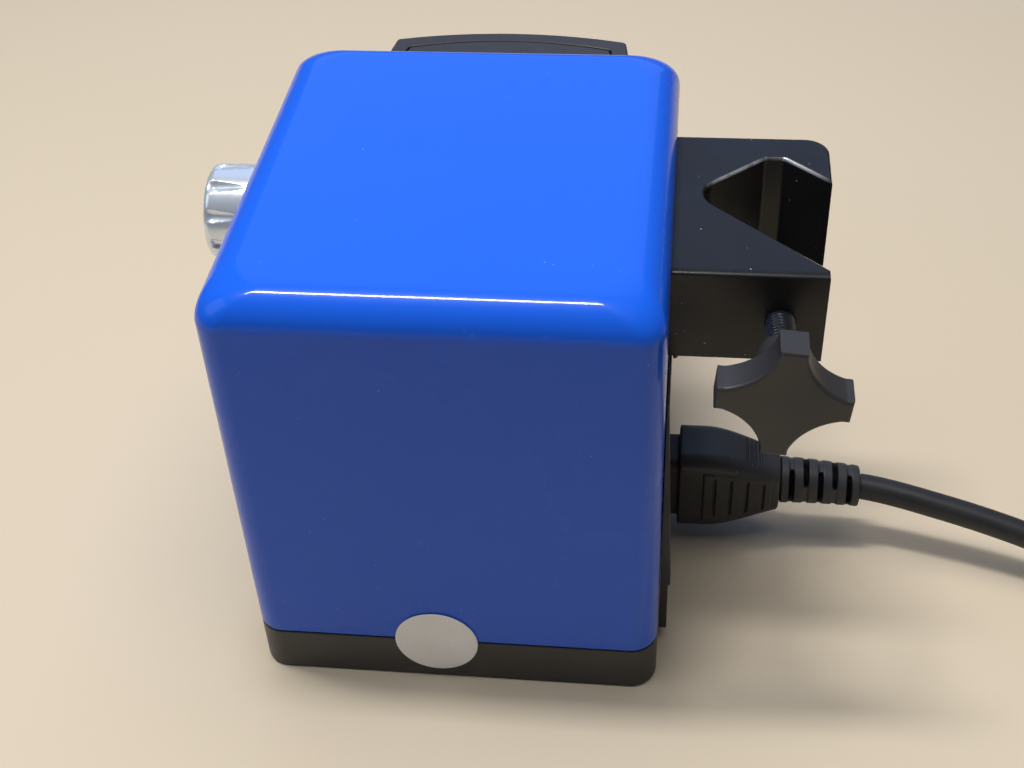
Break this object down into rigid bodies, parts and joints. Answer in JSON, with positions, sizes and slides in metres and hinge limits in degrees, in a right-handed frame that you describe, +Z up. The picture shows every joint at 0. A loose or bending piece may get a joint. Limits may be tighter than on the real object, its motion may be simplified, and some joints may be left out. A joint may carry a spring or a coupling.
{
  "type": "vortex mixer",
  "caption": "Boxy blue bench vortex mixer with a black base, side stand clamp with star knob, fluted speed knob, rear drive head with an orbiting rubber cup, and a corded mains inlet.",
  "frame": {"origin": "middle of the rubber sole's underside, on the bench", "axes": "+Z up, +X towards the stand clamp and mains inlet, +Y towards the drive head"},
  "size_m": [0.4113, 0.2095, 0.143],
  "materials": {
    "blue_paint": "gloss",
    "black_metal": "satin",
    "black_moulding": "satin",
    "black_rubber": "matt",
    "paper_seal": "matt",
    "satin_aluminium": "satin",
    "steel": "plain",
    "brass": "plain",
    "copper": "enamelled wire",
    "board": "satin",
    "glass": "clear"
  },
  "bodies": {
    "housing": {"cover": "blue_paint", "base_tray": "black_moulding", "sole_pad": "black_rubber", "base_screw_1": "steel", "base_screw_2": "steel", "base_screw_3": "steel", "base_screw_4": "steel", "blank_seal": "paper_seal", "rear_panel": "black_moulding", "panel_screw_1": "steel", "panel_screw_2": "steel", "inlet_socket": "black_moulding", "inlet_pins": "steel", "switch_frame": "black_moulding", "fuse_holder": "black_moulding", "mains_connector": "black_moulding", "connector_boot": "black_rubber", "mains_cord": "black_rubber", "cord_coil": "black_rubber", "coil_tie": "black_rubber", "mains_plug": "black_moulding", "mains_plug_pins": "brass", "clamp_block": "black_metal", "clamp_bolt_1": "steel", "clamp_bolt_2": "steel", "potentiometer": "steel", "potentiometer_nut": "steel", "head_housing": "black_moulding", "head_top_panel": "black_moulding", "head_bolt_1": "steel", "head_bolt_2": "steel", "head_bolt_3": "steel", "head_bolt_4": "steel", "lead_grommet": "black_rubber", "drive_motor": "steel", "motor_bracket": "steel", "motor_screw_1": "steel", "motor_screw_2": "steel", "guide_fork": "black_moulding", "ballast_plate": "steel", "transformer_core": "steel", "transformer_winding": "copper", "control_board": "board", "board_carrier": "black_moulding", "smoothing_capacitor": "black_moulding", "heat_sink": "satin_aluminium"},
    "speed_control": {"speed_knob": "satin_aluminium", "knob_grub_screw": "steel", "speed_shaft": "steel"},
    "power_rocker": {"switch_rocker": "black_moulding"},
    "fuse_carrier": {"fuse_cap": "black_moulding", "fuse_cartridge": "glass"},
    "clamp_pad": {"pressure_pad": "black_moulding"},
    "clamp_handle": {"clamp_screw": "steel", "star_knob": "black_moulding"},
    "drive_rotor": {"motor_shaft": "steel", "eccentric_crank": "brass"},
    "orbiting_cup": {"cup_bearing": "steel", "cup_holder": "black_moulding", "mixing_cup": "black_rubber"}
  },
  "joints": [
    {"name": "speed_turn", "type": "hinge", "parent": "housing", "child": "speed_control", "pos_m": [-0.06215, 0.0143, 0.113], "axis": [1, 0, 0], "range_deg": [0, 300]},
    {"name": "rocker_tilt", "type": "hinge", "parent": "housing", "child": "power_rocker", "pos_m": [0.06095, 0.0322, 0.0775], "axis": [0, 1, 0], "range_deg": [-18, 0]},
    {"name": "fuse_turn", "type": "hinge", "parent": "housing", "child": "fuse_carrier", "pos_m": [0.06385, 0.0322, 0.057], "axis": [1, 0, 0], "range_deg": [0, 90]},
    {"name": "pad_slide", "type": "slide", "parent": "housing", "child": "clamp_pad", "axis": [0, 1, 0], "range_m": [-0.0026, 0.011]},
    {"name": "screw_turn", "type": "hinge", "parent": "clamp_pad", "child": "clamp_handle", "pos_m": [0.09025, -0.0085, 0.1149], "axis": [0, 1, 0], "range_deg": [-750, 3169]},
    {"name": "drive_spin", "type": "hinge", "parent": "housing", "child": "drive_rotor", "pos_m": [0, 0.095, 0.085], "axis": [0, 0, 1], "continuous": true},
    {"name": "cup_orbit", "type": "hinge", "parent": "drive_rotor", "child": "orbiting_cup", "pos_m": [0.002, 0.095, 0.092], "axis": [0, 0, 1], "continuous": true}
  ],
  "couplings": [
    {"joint": "screw_turn", "follows": "pad_slide", "rad_per_m": 5026.5},
    {"joint": "cup_orbit", "follows": "drive_spin", "ratio": -1}
  ]
}
